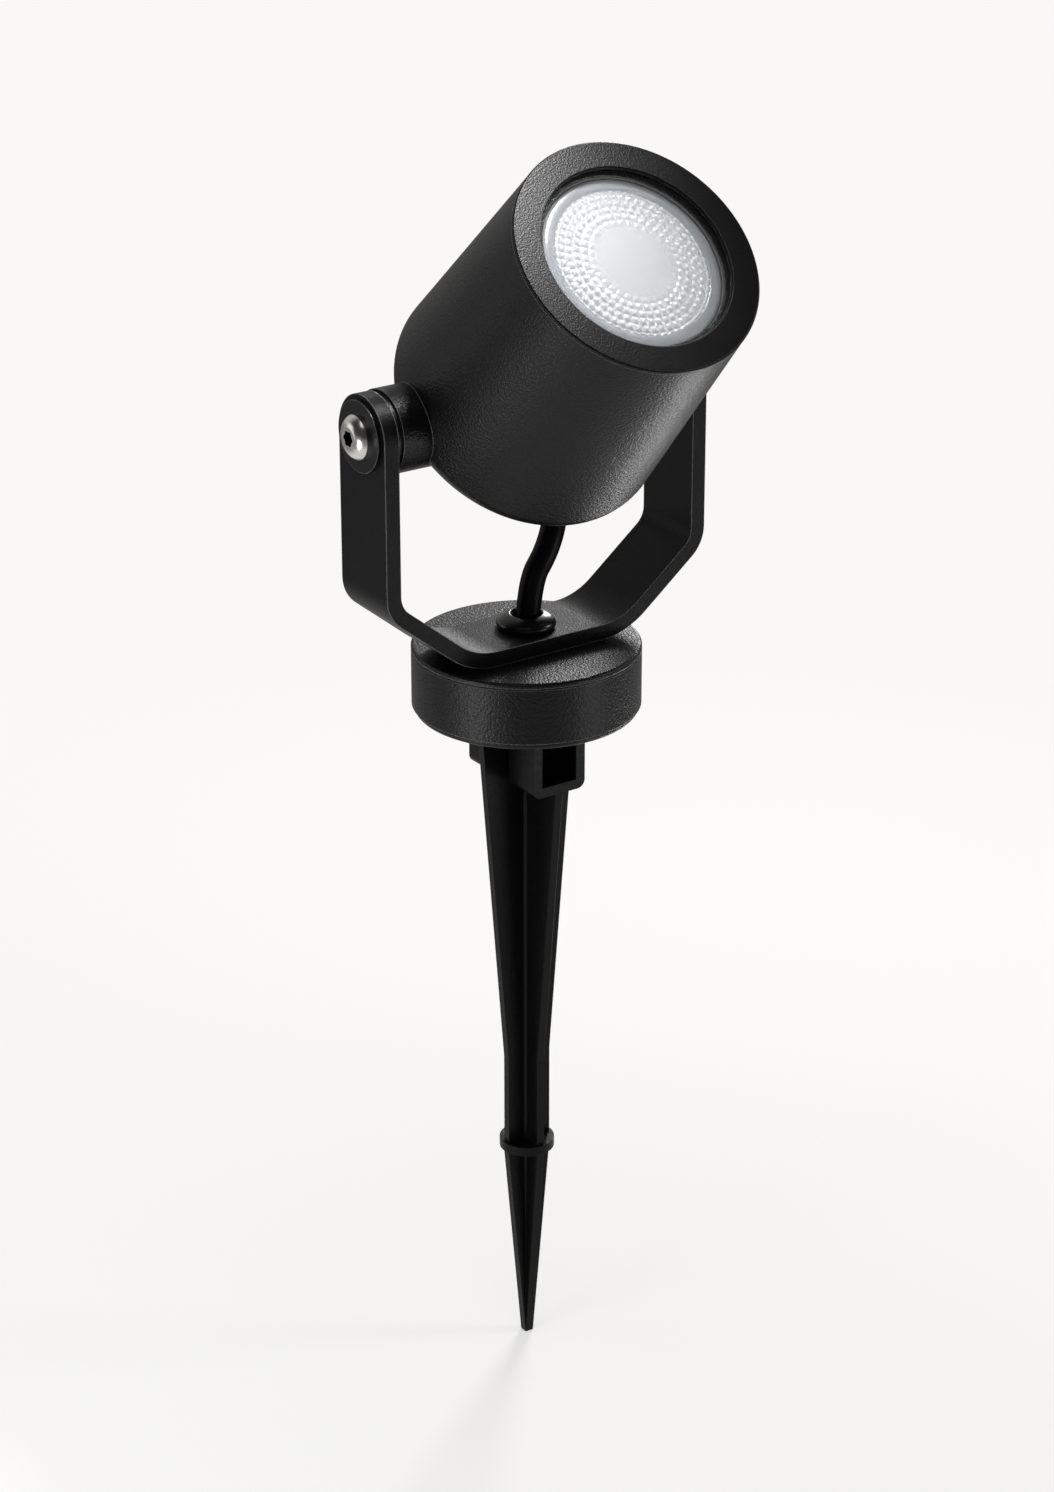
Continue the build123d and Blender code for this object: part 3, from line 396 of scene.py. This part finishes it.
def coat_grain():
    """Grain of a sprayed coat. Its height is a share of the distance in a field of soft cells plus a
    wrinkled noise, and its tone, which varies colour and gloss, a share of a slow mottle plus one of the
    wrinkled noise."""
    group, given, result = new_group(
        "coat_grain",
        [("Vector", "NodeSocketVector", None), ("Scale", "NodeSocketFloat", 1000.0)],
        [("Height", "NodeSocketFloat"), ("Tone", "NodeSocketFloat")],
    )
    place, scale = given.outputs["Vector"], given.outputs["Scale"]
    wrinkles = noise_node(group, place, scale, detail=3)
    cells = add_node(
        group, "ShaderNodeTexVoronoi", {"Vector": place, "Scale": scale, "Smoothness": cell_smoothness},
        feature="SMOOTH_F1",
    )
    lumps = math_node(group, "MULTIPLY", cells.outputs["Distance"], cell_share)
    tone = math_node(group, "MULTIPLY", noise_node(group, place, mottle_scale, detail=4), mottle_share)
    tone = math_node(group, "ADD", tone, math_node(group, "MULTIPLY", wrinkles, wrinkle_share))
    feed(group, result, {"Height": math_node(group, "ADD", lumps, wrinkles), "Tone": tone})
    return group


def painted_edge_highlight():
    """Painted highlight along edges. The coat's colour goes smoothly to a lighter highlight colour as the dot
    product of the rounded normal and the plain one, which is the cosine between them, falls from the
    highlight's start to its end."""
    group, given, result = new_group(
        "painted_edge_highlight",
        [
            ("Rounded Normal", "NodeSocketVector", None),
            ("Plain Normal", "NodeSocketVector", None),
            ("Coat", "NodeSocketColor", None),
            ("Highlight", "NodeSocketColor", None),
        ],
        [("Colour", "NodeSocketColor")],
    )
    normals = {0: given.outputs["Rounded Normal"], 1: given.outputs["Plain Normal"]}
    highlight_mask = smooth_range(group, vector_node(group, "DOT_PRODUCT", normals, "Value"), highlight_start, highlight_end)
    feed(group, result, {"Colour": blend_colours(group, highlight_mask, given.outputs["Coat"], given.outputs["Highlight"])})
    return group


grain_group = coat_grain()
edge_highlight_group = painted_edge_highlight()


def finish_material(
    name, colour, roughness, grain, depth, metallic=0.0, spread=0.08, shade=0.15, edge=0.0, specular=0.5,
    highlight_colour=None,
):
    """Material whose grain bumps its surface, varies its roughness by spread and its colour by shade. edge is
    the radius over which its sharp edges look rounded, and the last argument the lighter colour painted along
    those edges as a highlight."""
    material, tree, shader = new_material(name)
    texture = add_node(
        tree, "ShaderNodeGroup", {"Scale": grain, "Vector": object_place(tree)}, node_tree=grain_group
    )
    tone = texture.outputs["Tone"]
    dark = tuple(part * (1 - shade) for part in colour)
    light = tuple(min(part * (1 + shade), 1) for part in colour)
    base = blend_colours(tree, tone, dark, light)
    gloss = math_node(tree, "MULTIPLY", tone, 2 * spread)
    bump = add_node(
        tree, "ShaderNodeBump", {"Distance": depth, "Strength": 1.0, "Height": texture.outputs["Height"]}
    )
    if edge:
        rounded = add_node(tree, "ShaderNodeBevel", {"Radius": edge}, samples=edge_samples).outputs["Normal"]
        tree.links.new(rounded, bump.inputs["Normal"])
        # Paints a lighter colour along the rounded edges as a highlight
        if highlight_colour:
            plain = tree.nodes.new("ShaderNodeNewGeometry").outputs["Normal"]
            inputs = {"Rounded Normal": rounded, "Plain Normal": plain, "Coat": base, "Highlight": (*highlight_colour, 1)}
            base = add_node(tree, "ShaderNodeGroup", inputs, node_tree=edge_highlight_group).outputs["Colour"]
    feed(
        tree,
        shader,
        {
            "Metallic": metallic,
            "Specular IOR Level": specular,
            "Base Color": base,
            "Roughness": math_node(tree, "ADD", gloss, roughness - spread),
            "Normal": bump.outputs["Normal"],
        },
    )
    return material


coat_black = finish_material(
    "cast_powder_coat", (0.005, 0.005, 0.0052), 0.38, grain=1500, depth=0.00012, edge=0.0004, specular=0.3,
    highlight_colour=edge_highlight_colour,
)
coat_ring = finish_material(
    "ring_powder_coat", (0.005, 0.005, 0.0052), 0.38, grain=1900, depth=0.00006, edge=0.0003, specular=0.21,
    highlight_colour=edge_highlight_colour,
)
coat_fine = finish_material(
    "bar_powder_coat", (0.004, 0.004, 0.0042), 0.42, grain=2200, depth=0.00006, edge=0.0005, specular=0.17,
    highlight_colour=(0.42, 0.42, 0.414),
)
coat_washer = finish_material(
    "washer_coat", (0.005, 0.005, 0.005), 0.36, grain=2500, depth=0.00003, edge=0.0003, specular=0.3,
    highlight_colour=edge_highlight_colour,
)
plastic_black = finish_material(
    "spike_plastic", (0.004, 0.004, 0.004), 0.36, grain=600, depth=0.00005, edge=0.0003, specular=0.15
)
nylon_black = finish_material(
    "gland_nylon", (0.008, 0.008, 0.008), 0.42, grain=1800, depth=0.00003, edge=0.0002
)
rubber_black = finish_material(
    "soft_rubber", (0.008, 0.008, 0.008), 0.22, grain=1500, depth=0.00001, spread=0.03
)
jacket_black = finish_material(
    "lead_jacket", (0.003, 0.003, 0.003), 0.36, grain=1500, depth=0.00002, specular=0.1
)
steel_bright = finish_material(
    "stainless_steel", steel_tone, 0.24, metallic=1.0, grain=3000, depth=0.00001, shade=0.05, edge=0.0002
)
zinc_plate = finish_material(
    "zinc_plate", (0.6, 0.61, 0.63), 0.3, metallic=1.0, grain=2500, depth=0.00001, shade=0.06
)
brass = finish_material(
    "plain_brass", (0.75, 0.58, 0.28), 0.28, metallic=1.0, grain=2500, depth=0.00001, shade=0.06
)
white_moulding = finish_material(
    "white_moulding", (0.8, 0.8, 0.79), 0.35, grain=1200, depth=0.00002, shade=0.03
)
white_board = finish_material(
    "solder_resist", (0.84, 0.84, 0.83), 0.25, grain=3000, depth=0.00001, shade=0.02
)
phosphor = finish_material("phosphor", (0.85, 0.72, 0.25), 0.5, grain=4000, depth=0.00002, shade=0.05)
white_ceramic = finish_material("ceramic", (0.83, 0.81, 0.76), 0.6, grain=1500, depth=0.00004, shade=0.04)
wire_brown = finish_material("brown_insulation", (0.2, 0.09, 0.05), 0.35, grain=2000, depth=0.00002)
wire_green = finish_material("green_insulation", (0.1, 0.4, 0.12), 0.35, grain=2000, depth=0.00002)


def glass_material():
    """Clear pane with a faint smear in its gloss, which lets the lamps' light through to what lies behind."""
    material, tree, shader = new_material("clear_pane")
    smear = noise_node(tree, object_place(tree), smear_scale, detail=3)
    feed(
        tree,
        shader,
        {
            "Base Color": (0.97, 0.985, 0.98, 1),
            "Transmission Weight": 1.0,
            "IOR": 1.5,
            "Roughness": math_node(tree, "MULTIPLY", smear, smear_roughness),
        },
    )
    through = tree.nodes.new("ShaderNodeBsdfTransparent")
    path = tree.nodes.new("ShaderNodeLightPath")
    either = mix_shaders(tree, path.outputs["Is Shadow Ray"], shader.outputs[0], through.outputs[0])
    tree.links.new(either, tree.nodes["Material Output"].inputs["Surface"])
    return material


def lens_material():
    """Moulded optic: pale, glossy and partly a mirror within the share of its radius that the pattern has,
    with a greyer rim outside it."""
    material = finish_material(
        "moulded_optic", (0.38, 0.388, 0.4), 0.15, grain=700, depth=0.000003, spread=0.03, shade=0.03
    )
    tree = material.node_tree
    shader = tree.nodes["Principled BSDF"]
    share = add_node(tree, "ShaderNodeAttribute", attribute_name="radius_share").outputs["Fac"]
    rim = smooth_range(tree, share, rim_start / lens_radius, rim_end / lens_radius)
    pattern = math_node(tree, "SUBTRACT", 1, rim)
    feed(
        tree,
        shader,
        {
            "Coat Weight": 0.6,
            "Coat Roughness": 0.05,
            "Metallic": math_node(tree, "MULTIPLY", pattern, pattern_metal),
        },
    )
    blend_base_colour(tree, shader, rim, rim_tone)
    return material


def screw_material():
    """Steel of the pivot's screws with painted shade in their sockets: dark closer to the axis than a
    socket's radius and further in than the flat of the head."""
    material = finish_material(
        "socket_steel", steel_tone, 0.24, metallic=1.0, grain=3000, depth=0.00001, shade=0.05
    )
    tree = material.node_tree
    place = object_place(tree)
    across = vector_node(tree, "MULTIPLY_ADD", {0: place, 1: (0, 1, 1), 2: (0, 0, -pivot_height)}, "Vector")
    from_axis = vector_node(tree, "LENGTH", {0: across}, "Value")
    along = math_node(tree, "ABSOLUTE", add_node(tree, "ShaderNodeSeparateXYZ", {0: place}).outputs["X"])
    within = math_node(tree, "LESS_THAN", from_axis, screw_socket_radius)
    below = math_node(tree, "LESS_THAN", along, screw_face)
    # Mask of the sockets' hollows, where shade is painted
    socket = math_node(tree, "MULTIPLY", within, below)
    blend_base_colour(tree, tree.nodes["Principled BSDF"], socket, painted_socket_shade)
    return material


clear_pane = glass_material()
moulded_optic = lens_material()
socket_steel = screw_material()

finishes = {
    coat_black: ["head_shell", "base_housing", "base_cover"],
    coat_ring: ["front_ring"],
    coat_fine: ["yoke"],
    coat_washer: ["outer_washers", "friction_washers", "swivel_washer"],
    plastic_black: ["spike"],
    nylon_black: ["gland_body", "gland_cap", "gland_locknut", "inlet_gland", "terminal_block"],
    rubber_black: ["stem_grommet", "gland_seal", "ring_seal", "glass_gasket", "base_gasket"],
    socket_steel: ["pivot_screws"],
    steel_bright: ["spike_screw", "cover_screws"],
    zinc_plate: [
        "stem", "stem_nut", "stem_spring_washer", "terminal_fixing_screws", "holder_plate", "plate_screws",
        "holder_screws", "earth_lug", "earth_screw", "lamp_pins",
    ],
    brass: ["pivot_inserts", "terminal_screws"],
    white_moulding: ["lamp_body", "lamp_base"],
    white_board: ["led_board"],
    phosphor: ["led_emitter"],
    white_ceramic: ["lamp_holder"],
    wire_brown: ["base_cores", "head_cores"],
    wire_green: ["earth_core"],
    clear_pane: ["front_glass"],
}


def give(piece, material):
    """Puts one material on a piece in place of those it came with."""
    piece.data.materials.clear()
    piece.data.materials.append(material)


for material, labels in finishes.items():
    for label in labels:
        give(nodes[label], material)
give(lead, jacket_black)
give(lens, moulded_optic)

# ---------------------------------------------------------------- studio

backdrop_white = (0.947, 0.939, 0.922, 1)
away_from_camera = (-sin(view_azimuth), cos(view_azimuth), 0)

# Floor as the camera sees it, matt with a glow of its own, and as other light meets it
floor_reach = 6.0
floor_matt = (0.8, 0.794, 0.785, 1)
floor_glow = (0.47, 0.466, 0.458, 1)
floor_plain = (0.8, 0.795, 0.785, 1)

# Distances from the model's origin between which the floor fades into the backdrop, and between which its
# mirror image dims, with the strengths before and after
floor_fade = (0.15, 0.6)
mirror_fade = (0.3, 0.75)
mirror_strengths = (0.7, 0.2)

# World: its plain light, how far round it turns from the camera's side to the side behind the object, as a
# cosine, and the strengths of its mirror image on the two
sky_light = (0.95, 0.96, 1, 1)
sky_strength = 0.2
sky_turn = (0.0, 0.6)
sky_mirror_strengths = (0.03, 0.48)


def by_ray(tree, direct, mirrored, other):
    """Shader that the camera, also through glass, sees as the first, that glossy surfaces mirror as the
    second, and that all other light meets as the third."""
    path = tree.nodes.new("ShaderNodeLightPath").outputs
    reflected = mix_shaders(tree, path["Is Glossy Ray"], other, mirrored)
    straight = math_node(tree, "MAXIMUM", path["Is Camera Ray"], path["Is Transmission Ray"])
    return mix_shaders(tree, straight, reflected, direct)


def make_floor():
    """Pale floor under the spike's point: shaded where the object keeps light off it, and otherwise as
    white as the backdrop, which it fades into."""
    corners = [
        (x * floor_reach, y * floor_reach, floor_level) for x, y in ((-1, -1), (1, -1), (1, 1), (-1, 1))
    ]
    floor = put_mesh("floor", corners, [(0, 1, 2, 3)], smooth=False)
    material, tree, shader = new_material("pale_floor")
    tree.nodes.remove(shader)
    from_origin = vector_node(tree, "LENGTH", {0: object_place(tree)}, "Value")
    matt = add_node(tree, "ShaderNodeBsdfDiffuse", {"Color": floor_matt}).outputs[0]
    glow = add_node(tree, "ShaderNodeEmission", {"Color": floor_glow}).outputs[0]
    near = add_node(tree, "ShaderNodeAddShader", {0: matt, 1: glow}).outputs[0]
    far = add_node(tree, "ShaderNodeEmission", {"Color": backdrop_white}).outputs[0]
    direct = mix_shaders(tree, smooth_range(tree, from_origin, *floor_fade), near, far)
    dimmed = smooth_range(tree, from_origin, *mirror_fade, *mirror_strengths)
    mirrored = add_node(tree, "ShaderNodeEmission", {"Color": backdrop_white, "Strength": dimmed}).outputs[0]
    plain = add_node(tree, "ShaderNodeBsdfDiffuse", {"Color": floor_plain}).outputs[0]
    surface = tree.nodes["Material Output"].inputs["Surface"]
    tree.links.new(by_ray(tree, direct, mirrored, plain), surface)
    floor.data.materials.append(material)


def make_world():
    """White all round for the camera; for reflections pale behind the object and dark on the camera's side,
    by the dot product of the direction looked in and the one away from the camera; a plain soft light for
    the rest."""
    world = bpy.data.worlds.new("studio")
    bpy.context.scene.world = world
    world.use_nodes = True
    tree = world.node_tree
    tree.nodes.clear()
    around = tree.nodes.new("ShaderNodeTexCoord").outputs["Generated"]
    facing = vector_node(tree, "DOT_PRODUCT", {0: around, 1: away_from_camera}, "Value")
    side = smooth_range(tree, facing, *sky_turn, *sky_mirror_strengths)
    white = add_node(tree, "ShaderNodeBackground", {"Color": backdrop_white}).outputs[0]
    mirrored = add_node(tree, "ShaderNodeBackground", {"Color": backdrop_white, "Strength": side}).outputs[0]
    soft = add_node(
        tree, "ShaderNodeBackground", {"Color": sky_light, "Strength": sky_strength}
    ).outputs[0]
    add_node(tree, "ShaderNodeOutputWorld", {"Surface": by_ray(tree, white, mirrored, soft)})


# Name, place, target, width and height, watts, and spread of the beam in degrees
softboxes = [
    ("left_box", (-0.7, 0.6, 0.1), (0, 0, 0.06), (0.4, 0.5), 0.5, 180),
    ("low_left_box", (-0.49, -0.06, -0.12), (0, 0, 0), (0.2, 0.2), 0.8, 180),
    ("low_right_box", (0.23, 0.0, -0.185), (0, -0.06, 0.1), (0.07, 0.07), 0.039, 90),
    ("right_box", (0.9, -0.55, 0.4), (0, 0, -0.05), (0.25, 0.3), 1.7, 180),
    ("back_box", (0.76, 0.68, 0.425), (0, 0, 0.03), (0.3, 0.3), 5, 180),
    ("front_box", (0.25, -0.41, -0.1), (0, 0, 0.05), (0.18, 0.18), 0.035, 55),
    ("ring_box", (0.045, -0.054, 0.32), (-0.03, -0.045, 0.15), (0.03, 0.03), 0.043, 40),
    ("top_box", (-0.3, -0.3, 1.3), (0, 0, 0.06), (0.9, 0.9), 2.2, 180),
]


def add_softbox(name, place, target, size, watts, spread):
    """Rectangular lamp of a softbox, turned to its target, with a grid that narrows its beam."""
    lamp = bpy.data.lights.new(name, "AREA")
    lamp.shape = "RECTANGLE"
    lamp.size, lamp.size_y = size
    lamp.energy = watts
    lamp.spread = radians(spread)
    box = bpy.data.objects.new(name, lamp)
    bpy.context.scene.collection.objects.link(box)
    box.location = place
    box.rotation_euler = (Vector(place) - Vector(target)).to_track_quat("Z", "Y").to_euler()


make_floor()
make_world()
for softbox in softboxes:
    add_softbox(*softbox)
bpy.context.scene.view_settings.view_transform = "Standard"
